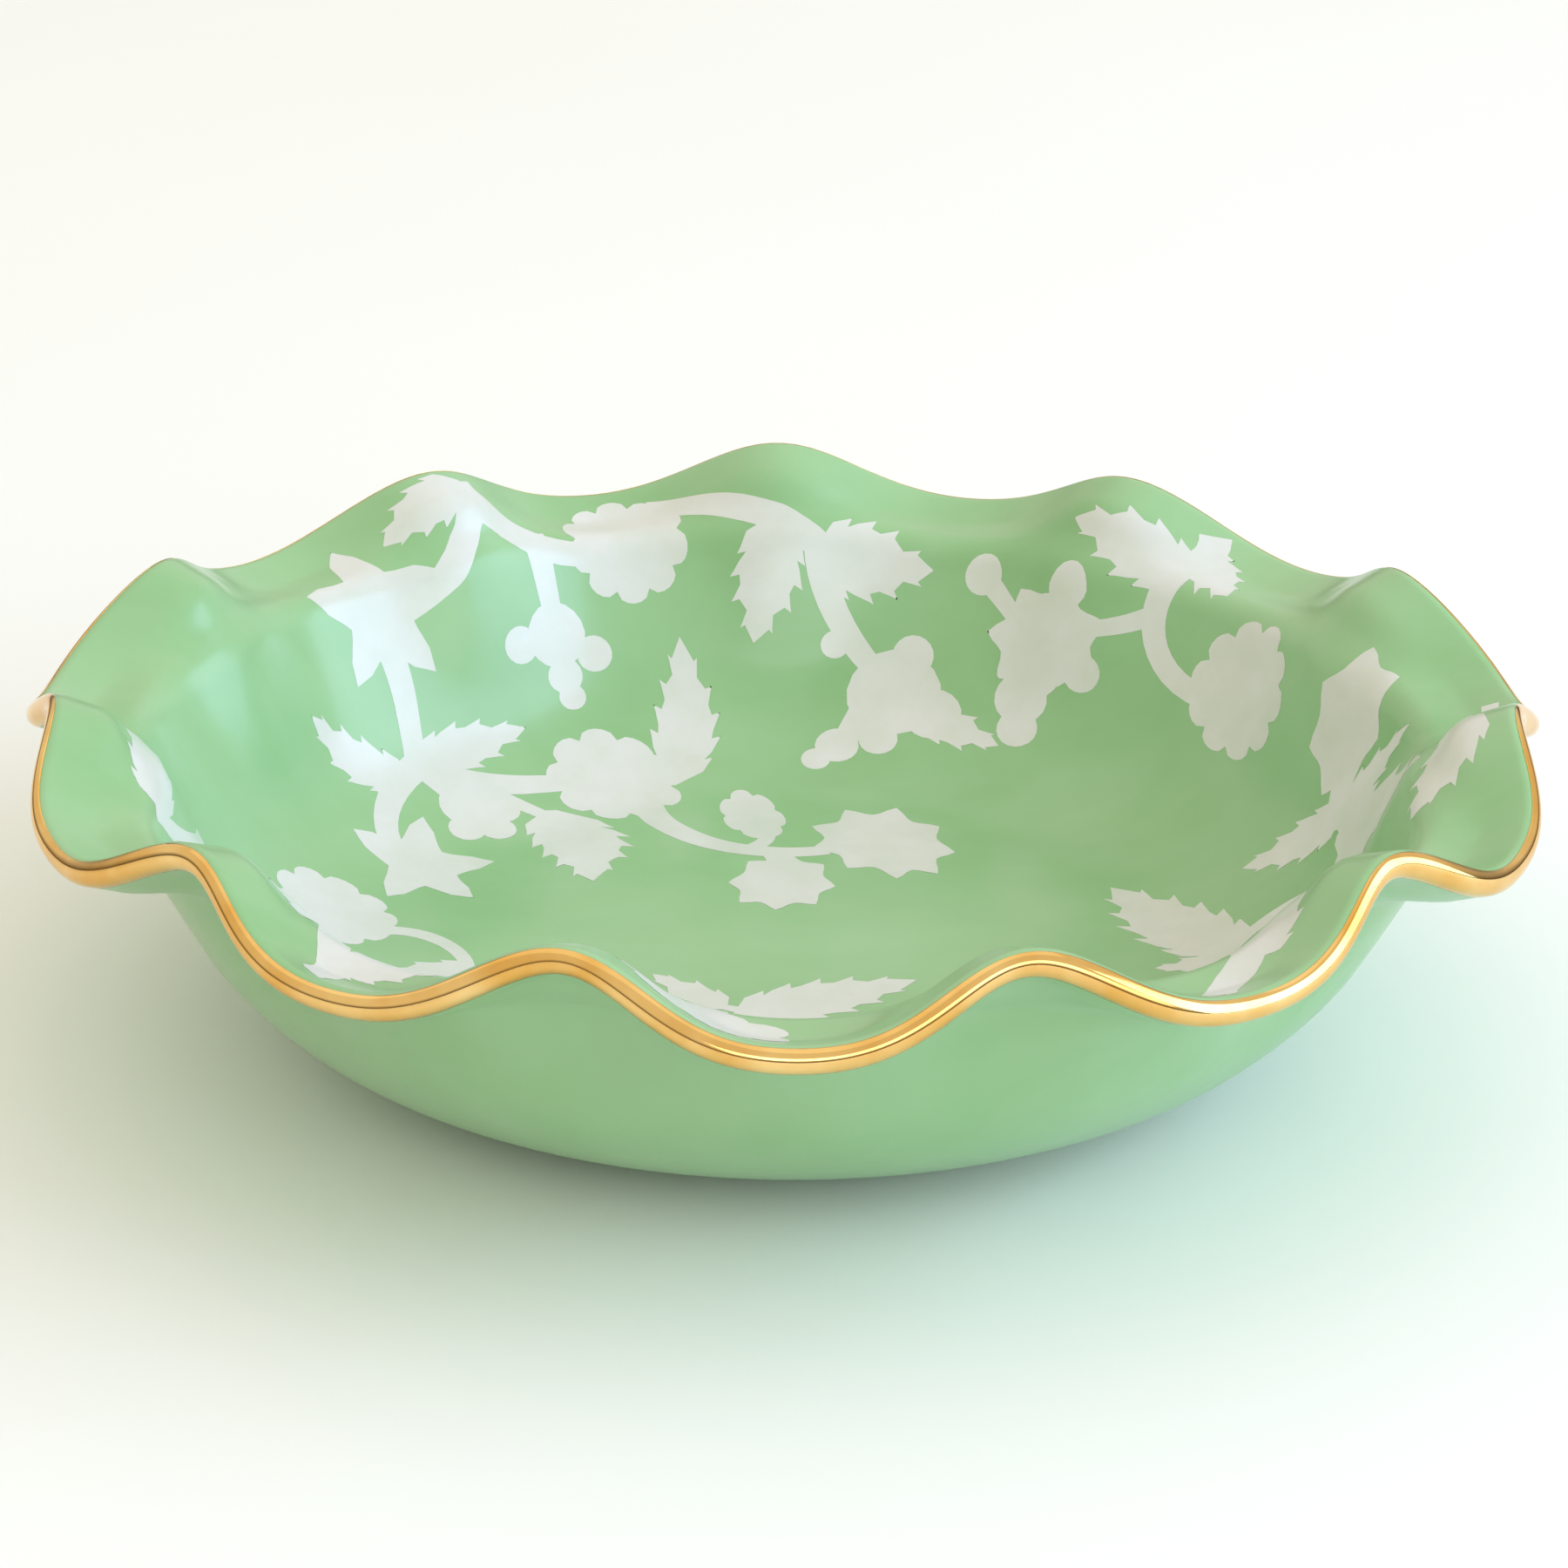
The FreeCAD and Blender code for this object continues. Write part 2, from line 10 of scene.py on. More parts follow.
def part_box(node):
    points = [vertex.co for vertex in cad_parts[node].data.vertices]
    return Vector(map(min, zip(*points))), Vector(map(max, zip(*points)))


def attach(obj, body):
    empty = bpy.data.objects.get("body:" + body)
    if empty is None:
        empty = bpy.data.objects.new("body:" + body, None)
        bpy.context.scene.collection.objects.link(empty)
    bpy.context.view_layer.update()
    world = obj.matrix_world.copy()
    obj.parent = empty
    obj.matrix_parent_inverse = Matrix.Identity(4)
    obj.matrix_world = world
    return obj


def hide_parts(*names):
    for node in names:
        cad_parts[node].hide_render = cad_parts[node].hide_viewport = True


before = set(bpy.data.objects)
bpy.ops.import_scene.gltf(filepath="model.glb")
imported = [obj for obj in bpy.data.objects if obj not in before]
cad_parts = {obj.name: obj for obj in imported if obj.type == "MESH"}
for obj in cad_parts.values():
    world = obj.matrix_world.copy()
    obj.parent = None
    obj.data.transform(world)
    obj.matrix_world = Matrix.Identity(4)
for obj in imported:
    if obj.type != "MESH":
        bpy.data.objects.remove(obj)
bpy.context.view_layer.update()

bl_info = {
    "name": "Ruffled Serving Bowl",
    "version": (1, 0, 0),
    "blender": (4, 5, 0),
    "location": "3D View > Sidebar > Serving Bowl",
    "description": "Glazes, gilds and paints a ruffled porcelain serving bowl",
    "category": "Add Mesh",
}

MM = 0.001
BODY = "root"
COATS = ("porcelain_body", "outer_green_glaze", "inner_green_glaze", "gold_rim_band")
SPRAYS = sorted(set(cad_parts) - set(COATS))

# The ruffle swings the lip in and out, so its widest circle and its height come from the gilding
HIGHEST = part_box("gold_rim_band")[1].z
rim_places = [vertex.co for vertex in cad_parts["gold_rim_band"].data.vertices]
WIDEST = 2 * max(math.hypot(place.x, place.y) for place in rim_places)

# Turns round the section of the lip: the outside of the sheet, and its inside
OUTSIDE = 0.0
INSIDE = math.pi
LIP_STEPS = 16

# Columns of faces on each ruffle, and finer ones for the gold
GLAZE_COLUMNS = 32
GOLD_COLUMNS = 64

# Most between two rings of faces, on the flange, shoulder, wall, belly and floor
RING_SPACINGS = (1.2 * MM, 0.7 * MM, 1.6 * MM, 1.8 * MM, 4.0 * MM)
SMALLEST_RING = 1.0 * MM

# Step along the sheet that shows which way it faces
NEARBY = 0.01 * MM

# Waves round the bowl that make up the waver of a hand-brushed edge
BRUSH_WAVES = (5, 13, 23, 37)

# Corners of an enamel spray that are one corner, and cuts that let it follow the glaze
SAME_CORNER = 0.001 * MM
ENAMEL_CUTS = 2

# Cuts of the studio floor
FLOOR_CUTS = 6

# Place that the lights aim at, and each light's name, place and size in metres, watts and tint
MIDDLE = (0, 0, 0.03)
SOFTBOXES = (
    ("Window key", (1.9, -0.2, 0.85), (2.0, 1.6), 38, "#B6D9FF"),
    ("Overhead", (-0.2, 0.4, 2.0), (2.6, 2.6), 5, "#FFFBF2"),
    ("Front fill", (0.9, -2.1, 0.95), (2.6, 0.7), 13, "#F2F8FF"),
)


# ---------------------------------------------------------------- sizes and colours


def length(name, description, default):
    """Size in metres that a user can change."""
    return bpy.props.FloatProperty(
        name=name, description=description, default=default, min=0.0, unit="LENGTH", precision=5
    )


def angle(name, description, degrees):
    """Angle that a user can change, given in degrees."""
    return bpy.props.FloatProperty(
        name=name, description=description, default=math.radians(degrees), unit="ROTATION"
    )


def share(name, description, default):
    """Plain number that a user can change."""
    return bpy.props.FloatProperty(name=name, description=description, default=default, min=0.0)


def linear(hex_colour):
    """Linear colour, with full opacity, of an sRGB hex value."""
    channels = [int(hex_colour[place : place + 2], 16) / 255 for place in (1, 3, 5)]
    curved = [c / 12.92 if c <= 0.04045 else ((c + 0.055) / 1.055) ** 2.4 for c in channels]
    return (*curved, 1.0)


def colour(name, description, hex_colour):
    """Colour that a user can change, given as sRGB hex."""
    return bpy.props.FloatVectorProperty(
        name=name,
        description=description,
        default=linear(hex_colour),
        size=4,
        min=0.0,
        max=1.0,
        subtype="COLOR",
    )


class SERVINGBOWL_PG_form(bpy.types.PropertyGroup):
    """Sizes of the clay sheet and of what coats it."""

    overall_diameter: length("Diameter", "Circle that the dips of the ruffle touch", WIDEST)
    overall_height: length("Height", "From the foot to the top of the crests", HIGHEST)
    clay_thickness: length("Clay thickness", "Thickness of the bare sheet", 4.4 * MM)
    flange_width: length("Flange width", "Width of the sloping flange", 15.0 * MM)
    flange_slope: angle("Flange slope", "Slope of the flange below level", 21.0)
    shoulder_radius: length("Shoulder radius", "Bend from flange to wall", 9.0 * MM)
    wall_slope: angle("Wall slope", "Slope of the wall below level", 65.0)
    belly_radius: length("Belly radius", "Bend from wall to floor", 42.0 * MM)
    foot_diameter: length("Foot diameter", "Across the foot ring", 120.0 * MM)
    foot_height: length("Foot height", "Depth of the recess inside the foot ring", 5.4 * MM)
    ruffle_count: bpy.props.IntProperty(
        name="Ruffles", description="Waves round the lip", default=11, min=1
    )
    ruffle_rise: length("Ruffle rise", "How far the ruffle lifts and lowers the lip", 6.2 * MM)
    ruffle_swing: length("Ruffle swing", "How far the ruffle swings the lip in and out", 3.3 * MM)
    crest_sharpness_up: share("Crest sharpness up", "Narrows the crests seen from the side", 0.12)
    crest_sharpness_in: share("Crest sharpness in", "Narrows the crests seen from above", 0.25)
    crest_angle: angle("Crest angle", "Direction of one crest", 90.0)
    full_ruffle_width: length("Full ruffle width", "Stretch with the whole ruffle", 7.0 * MM)
    flute_share: share("Flute share", "Share of the ruffle that runs down the wall", 0.4)
    flute_length: length("Flute length", "How far the flutes run below the shoulder", 46.0 * MM)
    flute_turn_share: share("Flute turn", "How far the flutes turn with the wall", 0.65)
    glaze_thickness: length("Glaze thickness", "Thickness of the green glaze", 0.25 * MM)
    gold_thickness: length("Gold thickness", "Thickness of the gold lustre", 0.1 * MM)
    gold_width_outside: length("Gold width outside", "Gold below the lip outside", 1.2 * MM)
    gold_lip_turn: angle("Gold round the lip", "How far round the lip the gold goes", 142.0)
    gold_waver: share("Gold waver", "How unevenly the edges of the gold are brushed, 0 to 1", 0.8)
    enamel_thickness: length("Enamel thickness", "Thickness of the white enamel", 0.15 * MM)
    enamel_proud: length("Enamel proud", "How far the enamel stands above the glaze", 0.04 * MM)
    edge_leaning: share("Edge leaning", "How far an enamel corner may lean and be an edge", 0.35)
    edge_height: share("Edge height", "Share of the enamel that a leaning face stands up", 0.25)
    glaze_joint: length("Glaze joint", "How far below the lip the two glazes meet", 0.5 * MM)


class SERVINGBOWL_PG_finish(bpy.types.PropertyGroup):
    """Colours of the materials."""

    glaze_pale: colour("Pale green", "Glaze where it is thin", "#9FC796")
    glaze_deep: colour("Deep green", "Glaze where it is thick", "#7FB273")
    enamel_light: colour("Enamel", "White enamel of the vine", "#DFDEDC")
    enamel_thin: colour("Thin enamel", "Enamel where the green shows through", "#D3D6CC")
    gold_light: colour("Light gold", "Gold where it is thick", "#F6D08A")
    gold_deep: colour("Deep gold", "Gold where it is thin", "#E3AC55")
    bisque_light: colour("Bare clay", "Bare clay of the foot", "#EFEBE2")
    bisque_dark: colour("Rubbed clay", "Bare clay where it is rubbed", "#D8D2C5")
    table_light: colour("Floor", "Pale floor", "#FAFAF9")
    table_dark: colour("Floor shade", "Faint mottling of the floor", "#F6F6F4")


class SERVINGBOWL_PG_studio(bpy.types.PropertyGroup):
    """Camera and lights."""

    camera_distance: length("Camera distance", "From the middle of the rim", 0.963)
    camera_elevation: angle("Camera elevation", "Above level, from the middle of the rim", 21.17)
    camera_azimuth: angle("Camera azimuth", "Direction of the camera", -90.98)
    camera_droop: angle("Camera droop", "How far below the rim's middle it is aimed", 0.81)
    camera_roll: angle("Camera roll", "Turn of the camera about its view", 0.76)
    camera_lens: bpy.props.FloatProperty(
        name="Lens", description="Focal length in millimetres", default=116.24, unit="CAMERA"
    )
    camera_target: length("Camera target", "Height of the middle of the rim", 62.0 * MM)
    floor_width: length("Floor width", "Width of the floor", 9.0)
    room_high: colour("Room", "Light of the room from above", "#FFF9EA")
    room_low: colour("Room near the floor", "Dark band that the gloss mirrors", "#4A3F32")
    dark_band: share("Dark band", "Share of the way up where the dark has faded", 0.28)
    room_strength: share("Room strength", "Brightness of the room", 0.86)


# ---------------------------------------------------------------- the clay sheet's shape


def ease(value, start, end):
    """Go smoothly from 0 at start to 1 at end."""
    part = min(max((value - start) / (end - start), 0.0), 1.0)
    return part * part * (3 - 2 * part)


def lip_radius(form):
    """Radius of the lip's round, with all its coats."""
    return form.clay_thickness / 2 + form.glaze_thickness + form.gold_thickness


def sheet_runs(form):
    """Each run of the sheet below the lip: its length, and how fast its slope turns."""
    lip = lip_radius(form)
    rim_height = form.overall_height - lip - form.ruffle_rise * (1 + form.crest_sharpness_up)
    drop = rim_height - form.foot_height - form.clay_thickness / 2
    drop -= form.flange_width * math.sin(form.flange_slope)
    drop -= form.shoulder_radius * (math.cos(form.flange_slope) - math.cos(form.wall_slope))
    drop -= form.belly_radius * (1 - math.cos(form.wall_slope))
    return (
        (form.flange_width, 0.0),
        (form.shoulder_radius * (form.wall_slope - form.flange_slope), 1 / form.shoulder_radius),
        (drop / math.sin(form.wall_slope), 0.0),
        (form.belly_radius * form.wall_slope, -1 / form.belly_radius),
        (form.overall_diameter, 0.0),
    )


def meridian(form, distance):
    """Radius, height and slope of the sheet's middle before it is ruffled."""
    lip = lip_radius(form)
    radius = form.overall_diameter / 2 - lip - form.ruffle_swing * (1 - form.crest_sharpness_in)
    height = form.overall_height - lip - form.ruffle_rise * (1 + form.crest_sharpness_up)
    slope = form.flange_slope
    left = distance
    for run, bend in sheet_runs(form):
        step = min(left, run)
        if bend == 0.0:
            radius -= step * math.cos(slope)
            height -= step * math.sin(slope)
        else:
            turned = slope + bend * step
            radius -= (math.sin(turned) - math.sin(slope)) / bend
            height += (math.cos(turned) - math.cos(slope)) / bend
            slope = turned
        left -= step
        if left == 0.0:
            break
    return radius, height, slope


def floor_edge(form):
    """Distance from the lip to the flat floor, and the floor's radius."""
    start = sum(run for run, bend in sheet_runs(form)[:-1])
    return start, meridian(form, start)[0]


def ruffle_share(form, distance):
    """How much of the lip's ruffle is left at a distance down from the lip."""
    shoulder_middle = form.flange_width + sheet_runs(form)[1][0] / 2
    flange_part = 1 - ease(distance, form.full_ruffle_width, shoulder_middle)
    flute_part = 1 - ease(distance, form.flange_width, shoulder_middle + form.flute_length)
    return (1 - form.flute_share) * flange_part + form.flute_share * flute_part


def sheet_ring(form, distance, angles):
    """Points of the ruffled sheet's middle, all at one distance down from the lip."""
    radius, height, slope = meridian(form, distance)
    phase = form.ruffle_count * (angles - form.crest_angle)
    left = ruffle_share(form, distance)
    twice = np.cos(2 * phase)
    out = -left * form.ruffle_swing * (np.cos(phase) + form.crest_sharpness_in * twice)
    down = -left * form.ruffle_rise * (np.cos(phase) + form.crest_sharpness_up * twice)
    turn = form.flute_turn_share * (slope - form.flange_slope)
    radii = radius + out * math.cos(turn) + down * math.sin(turn)
    heights = height + out * math.sin(turn) - down * math.cos(turn)
    return np.stack([radii * np.cos(angles), radii * np.sin(angles), heights], axis=1)


def unit_rows(rows):
    """Rows of a table of vectors, each made one long."""
    return rows / np.linalg.norm(rows, axis=1, keepdims=True)


def coat_ring(form, station, angles):
    """Points at an offset from the sheet's middle, for one (distance, turn, offset)."""
    distance, turn, offset = station
    swing = NEARBY / (form.overall_diameter / 2)
    around = sheet_ring(form, distance, angles + swing)
    around -= sheet_ring(form, distance, angles - swing)
    inward = sheet_ring(form, distance + NEARBY, angles)
    inward -= sheet_ring(form, distance - NEARBY, angles)
    normal = unit_rows(np.cross(inward, around))
    outward = unit_rows(np.cross(normal, around))
    aim = normal * math.cos(turn) + outward * math.sin(turn)
    return sheet_ring(form, distance, angles) + aim * offset


def sheet_distances(form, start, end):
    """Distances down the sheet, closer together where it bends."""
    distances = [start]
    run_start = 0.0
    for (run, bend), spacing in zip(sheet_runs(form), RING_SPACINGS):
        low = max(run_start, start)
        high = min(run_start + run, end)
        if high > low:
            count = math.ceil((high - low) / spacing)
            distances += list(np.linspace(low, high, count + 1)[1:])
        run_start += run
    return distances


def lip_stations(form, outside, last_turn, offset):
    """Stations from a distance down outside, round the lip to a turn."""
    stations = [(d, OUTSIDE, offset) for d in reversed(sheet_distances(form, 0.0, outside))]
    turns = np.linspace(OUTSIDE, last_turn, LIP_STEPS + 1)[1:]
    return stations + [(0.0, turn, offset) for turn in turns]


# ---------------------------------------------------------------- modelling


def deselect_all():
    """Leave nothing selected, because an operator acts on all that is."""
    if bpy.context.object and bpy.context.object.mode != "OBJECT":
        bpy.ops.object.mode_set(mode="OBJECT")
    for thing in bpy.context.selected_objects:
        thing.select_set(False)


def set_active(piece):
    """Select just one piece."""
    deselect_all()
    piece.select_set(True)
    bpy.context.view_layer.objects.active = piece


def turned_on_the_wheel(name, profile, columns):
    """Round piece: a circle that is extruded and scaled ring by ring along a profile."""
    deselect_all()
    radius, height = profile[0]
    bpy.ops.mesh.primitive_circle_add(vertices=columns, radius=radius, location=(0, 0, height))
    piece = bpy.context.object
    piece.name = name
    bpy.ops.object.transform_apply(location=True, rotation=True, scale=True)
    bpy.ops.object.mode_set(mode="EDIT")
    bpy.ops.mesh.select_all(action="SELECT")
    for next_radius, next_height in profile[1:]:
        bpy.ops.mesh.extrude_region_move(
            TRANSFORM_OT_translate={"value": (0, 0, next_height - height)}
        )
        growth = next_radius / radius
        bpy.ops.transform.resize(value=(growth, growth, 1), center_override=(0, 0, next_height))
        radius = next_radius
        height = next_height
    bpy.ops.object.mode_set(mode="OBJECT")
    return piece


def plain_profile(form, stations):
    """Radius and height of each station on the bowl before it is ruffled."""
    profile = []
    for distance, turn, offset in stations:
        radius, height, slope = meridian(form, distance)
        lean = slope + turn
        profile.append((radius + offset * math.sin(lean), height - offset * math.cos(lean)))
    return profile


def brush_waver(angles):
    """How far a hand-brushed edge wanders, from 0 to 1, round the bowl."""
    waves = sum(np.sin(count * angles + count) for count in BRUSH_WAVES)
    return np.clip(0.5 + waves / 6, 0.0, 1.0)


def press_ruffle(form, piece, stations, columns, waver):
    """Move the vertices of a plain round piece to where the ruffle puts them."""
    places = np.empty(len(piece.data.vertices) * 3)
    piece.data.vertices.foreach_get("co", places)
    places = places.reshape(len(stations), columns, 3)
    for row, station in enumerate(stations):
        angles = np.arctan2(places[row, :, 1], places[row, :, 0])
        places[row] = coat_ring(form, station, angles)
    for edge, next_row in ((0, 1), (-1, -2)):
        drawn_back = waver * brush_waver(angles + edge)[:, None]
        places[edge] += (places[next_row] - places[edge]) * drawn_back
    piece.data.vertices.foreach_set("co", places.ravel())
    piece.data.update()


def close_floor(piece):
    """Merge the last, small ring into one point at the middle of the floor."""
    set_active(piece)
    bpy.ops.object.mode_set(mode="EDIT")
    bpy.ops.mesh.select_mode(type="VERT")
    bpy.ops.mesh.select_all(action="DESELECT")
    bpy.ops.object.mode_set(mode="OBJECT")
    for vertex in piece.data.vertices:
        vertex.select = math.hypot(vertex.co.x, vertex.co.y) < 1.5 * SMALLEST_RING
    bpy.ops.object.mode_set(mode="EDIT")
    bpy.ops.mesh.merge(type="CENTER")
    bpy.ops.object.mode_set(mode="OBJECT")


def turn_faces_out(piece, seen_from_above):
    """Make all the faces of an open sheet look to its shown side."""
    set_active(piece)
    bpy.ops.object.mode_set(mode="EDIT")
    bpy.ops.mesh.select_all(action="SELECT")
    bpy.ops.mesh.normals_make_consistent(inside=False)
    bpy.ops.object.mode_set(mode="OBJECT")
    lowest = min(piece.data.polygons, key=lambda polygon: polygon.center.z)
    if (lowest.normal.z > 0) != seen_from_above:
        bpy.ops.object.mode_set(mode="EDIT")
        bpy.ops.mesh.select_all(action="SELECT")
        bpy.ops.mesh.flip_normals()
        bpy.ops.object.mode_set(mode="OBJECT")


def thicken(piece, thickness):
    """Give a sheet its thickness, behind the side that shows."""
    set_active(piece)
    wall = piece.modifiers.new("Thickness", "SOLIDIFY")
    wall.thickness = thickness
    wall.offset = -1.0
    bpy.ops.object.modifier_apply(modifier=wall.name)
    bpy.ops.object.shade_smooth()


def coat(form, name, stations, columns, thickness, seen_from_above=False, closed=False, waver=0.0):
    """Thin coat over the ruffled sheet, along its stations."""
    piece = turned_on_the_wheel(name, plain_profile(form, stations), columns)
    press_ruffle(form, piece, stations, columns, waver)
    if closed:
        close_floor(piece)
    turn_faces_out(piece, seen_from_above)
    thicken(piece, thickness)
    return piece


# ---------------------------------------------------------------- materials


def add_node(material, kind, inputs=(), **settings):
    """Add a node to a material, with its inputs as values or links, and its settings."""
    tree = material.node_tree
    node = tree.nodes.new(kind)
    for name, value in settings.items():
        setattr(node, name, value)
    for name, value in dict(inputs).items():
        if isinstance(value, bpy.types.NodeSocket):
            tree.links.new(value, node.inputs[name])
        else:
            node.inputs[name].default_value = value
    return node


def new_material(name):
    """Empty material with its output."""
    material = bpy.data.materials.new(name)
    material.use_nodes = True
    material.node_tree.nodes.clear()
    return material


def finish_material(material, shader, height, depth):
    """Join a shader to the output, with a bump map of a real depth."""
    bump = add_node(
        material,
        "ShaderNodeBump",
        {"Height": height, "Distance": depth, "Strength": 1.0},
    )
    material.node_tree.links.new(bump.outputs["Normal"], shader.inputs["Normal"])
    add_node(material, "ShaderNodeOutputMaterial", {"Surface": shader.outputs["BSDF"]})
    return material


def object_place(material):
    """Place on the object, in metres."""
    return add_node(material, "ShaderNodeTexCoord").outputs["Object"]


def cloud(material, place, size, detail, roughness):
    """Soft noise whose patches are about a real size across."""
    return add_node(
        material,
        "ShaderNodeTexNoise",
        {"Vector": place, "Scale": 1 / size, "Detail": detail, "Roughness": roughness},
    ).outputs["Fac"]


def between(material, amount, low, high, from_low=0.3, from_high=0.7):
    """Number that goes from low to high as an amount does."""
    return add_node(
        material,
        "ShaderNodeMapRange",
        {
            "Value": amount,
            "From Min": from_low,
            "From Max": from_high,
            "To Min": low,
            "To Max": high,
        },
    ).outputs["Result"]


def mix_colours(material, amount, first, second):
    """Mix of two colours, by the colour sockets of a mix node."""
    sockets = {0: amount, 6: first, 7: second}
    return add_node(material, "ShaderNodeMix", sockets, data_type="RGBA").outputs[2]


def fired_glass(material, place, paint):
    """Give a colour the gloss of fired glass, with the faint ripple of a hand-dipped coat."""
    shader = add_node(
        material,
        "ShaderNodeBsdfPrincipled",
        {
            "Base Color": paint,
            "Roughness": 0.3,
            "IOR": 1.5,
            "Coat Weight": 0.3,
            "Coat Roughness": 0.15,
        },
    )
    ripple = cloud(material, place, size=9 * MM, detail=2.0, roughness=0.4)
    return finish_material(material, shader, ripple, depth=0.12 * MM)


def celadon_glaze(name, pale, deep):
    """Glossy glaze on porcelain: light pools green where it lies thick, brushed on by hand."""
    material = new_material(name)
    place = object_place(material)
    drift = cloud(material, place, size=70 * MM, detail=3.0, roughness=0.55)
    stretched = add_node(
        material, "ShaderNodeMapping", {"Vector": place, "Scale": (1.0, 2.6, 1.0)}
    ).outputs["Vector"]
    strokes = cloud(material, stretched, size=26 * MM, detail=4.0, roughness=0.6)
    depth = between(material, drift, low=0.15, high=0.85)
    base = mix_colours(material, depth, pale, deep)
    streaks = between(material, strokes, low=0.0, high=0.35)
    touched = mix_colours(material, streaks, base, pale)
    return fired_glass(material, place, touched)


def white_enamel(name, light, thin):
    """Opaque white enamel fired into the glaze, brushed a little thinner here and there."""
    material = new_material(name)
    place = object_place(material)
    strokes = cloud(material, place, size=14 * MM, detail=4.0, roughness=0.6)
    body = mix_colours(material, between(material, strokes, low=0.0, high=1.0), light, thin)
    return fired_glass(material, place, body)


def gold_lustre(name, light, deep):
    """Fired gold lustre: a mirror-bright metal film with faint brush marks."""
    material = new_material(name)
    place = object_place(material)
    marks = cloud(material, place, size=14 * MM, detail=3.0, roughness=0.5)
    metal = mix_colours(material, between(material, marks, low=0.0, high=1.0), light, deep)
    shader = add_node(
        material,
        "ShaderNodeBsdfPrincipled",
        {
            "Base Color": metal,
            "Metallic": 1.0,
            "Roughness": between(material, marks, low=0.06, high=0.14),
        },
    )
    return finish_material(material, shader, marks, depth=0.03 * MM)


def bisque(name, light, dark):
    """Bare fired clay of the foot ring: matt, with a fine grain."""
    material = new_material(name)
    place = object_place(material)
    rubbed = cloud(material, place, size=12 * MM, detail=5.0, roughness=0.6)
    grain = cloud(material, place, size=0.6 * MM, detail=3.0, roughness=0.7)
    clay = mix_colours(material, between(material, rubbed, low=0.0, high=1.0), light, dark)
    shader = add_node(
        material,
        "ShaderNodeBsdfPrincipled",
        {"Base Color": clay, "Roughness": 0.7, "IOR": 1.5},
    )
    return finish_material(material, shader, grain, depth=0.05 * MM)


def pale_floor(name, light, dark):
    """Plain pale studio floor."""
    material = new_material(name)
    place = object_place(material)
    mottle = cloud(material, place, size=400 * MM, detail=2.0, roughness=0.5)
    paint = mix_colours(material, mottle, light, dark)
    shader = add_node(
        material,
        "ShaderNodeBsdfPrincipled",
        {"Base Color": paint, "Roughness": 0.6, "IOR": 1.45},
    )
    return finish_material(material, shader, mottle, depth=0.1 * MM)


def dress(piece, material):
    """Give a piece its only material."""
    piece.data.materials.clear()
    piece.data.materials.append(material)


# ---------------------------------------------------------------- the pieces


class SERVINGBOWL_OT_clay_body(bpy.types.Operator):
    """Finish the clay casting, whose foot ring is bare"""

    bl_idname = "serving_bowl.clay_body"
    bl_label = "Clay Body"

    def execute(self, context):
        finish = context.scene.bowl_finish
        clay = bisque("Bare porcelain", finish.bisque_light, finish.bisque_dark)
        dress(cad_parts["porcelain_body"], clay)
        return {"FINISHED"}


class SERVINGBOWL_OT_inner_glaze(bpy.types.Operator):
    """Glaze the inside, over the lip to the joint under the flange"""

    bl_idname = "serving_bowl.inner_glaze"
    bl_label = "Inner Glaze"

    def execute(self, context):
        form = context.scene.bowl_form
        finish = context.scene.bowl_finish
        floor_start, floor_radius = floor_edge(form)
        last_ring = floor_start + floor_radius - SMALLEST_RING
        offset = form.clay_thickness / 2 + form.glaze_thickness
        columns = GLAZE_COLUMNS * form.ruffle_count
        stations = lip_stations(form, form.glaze_joint, INSIDE, offset)
        stations += [(d, INSIDE, offset) for d in sheet_distances(form, 0.0, last_ring)[1:]]
        piece = coat(
            form,
            "glaze_inside",
            stations,
            columns,
            form.glaze_thickness,
            seen_from_above=True,
            closed=True,
        )
        dress(piece, celadon_glaze("Green glaze inside", finish.glaze_pale, finish.glaze_deep))
        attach(piece, BODY)
        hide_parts("inner_green_glaze")
        return {"FINISHED"}


class SERVINGBOWL_OT_outer_glaze(bpy.types.Operator):
    """Glaze the outside, from the foot ring up to the joint"""

    bl_idname = "serving_bowl.outer_glaze"
    bl_label = "Outer Glaze"

    def execute(self, context):
        form = context.scene.bowl_form
        finish = context.scene.bowl_finish
        floor_start, floor_radius = floor_edge(form)
        foot_start = floor_start + floor_radius - form.foot_diameter / 2
        offset = form.clay_thickness / 2 + form.glaze_thickness
        distances = sheet_distances(form, form.glaze_joint, foot_start)
        stations = [(distance, OUTSIDE, offset) for distance in distances]
        columns = GLAZE_COLUMNS * form.ruffle_count
        piece = coat(form, "glaze_outside", stations, columns, form.glaze_thickness)
        dress(piece, celadon_glaze("Green glaze outside", finish.glaze_pale, finish.glaze_deep))
        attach(piece, BODY)
        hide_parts("outer_green_glaze")
        return {"FINISHED"}


class SERVINGBOWL_OT_gold_rim(bpy.types.Operator):
    """Gild the round of the lip"""

    bl_idname = "serving_bowl.gold_rim"
    bl_label = "Gold Rim"

    def execute(self, context):
        form = context.scene.bowl_form
        finish = context.scene.bowl_finish
        stations = lip_stations(
            form, form.gold_width_outside, form.gold_lip_turn, lip_radius(form)
        )
        columns = GOLD_COLUMNS * form.ruffle_count
        piece = coat(
            form, "gilded_lip", stations, columns, form.gold_thickness, waver=form.gold_waver
        )
        dress(piece, gold_lustre("Gold lustre", finish.gold_light, finish.gold_deep))
        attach(piece, BODY)
        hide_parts("gold_rim_band")
        return {"FINISHED"}


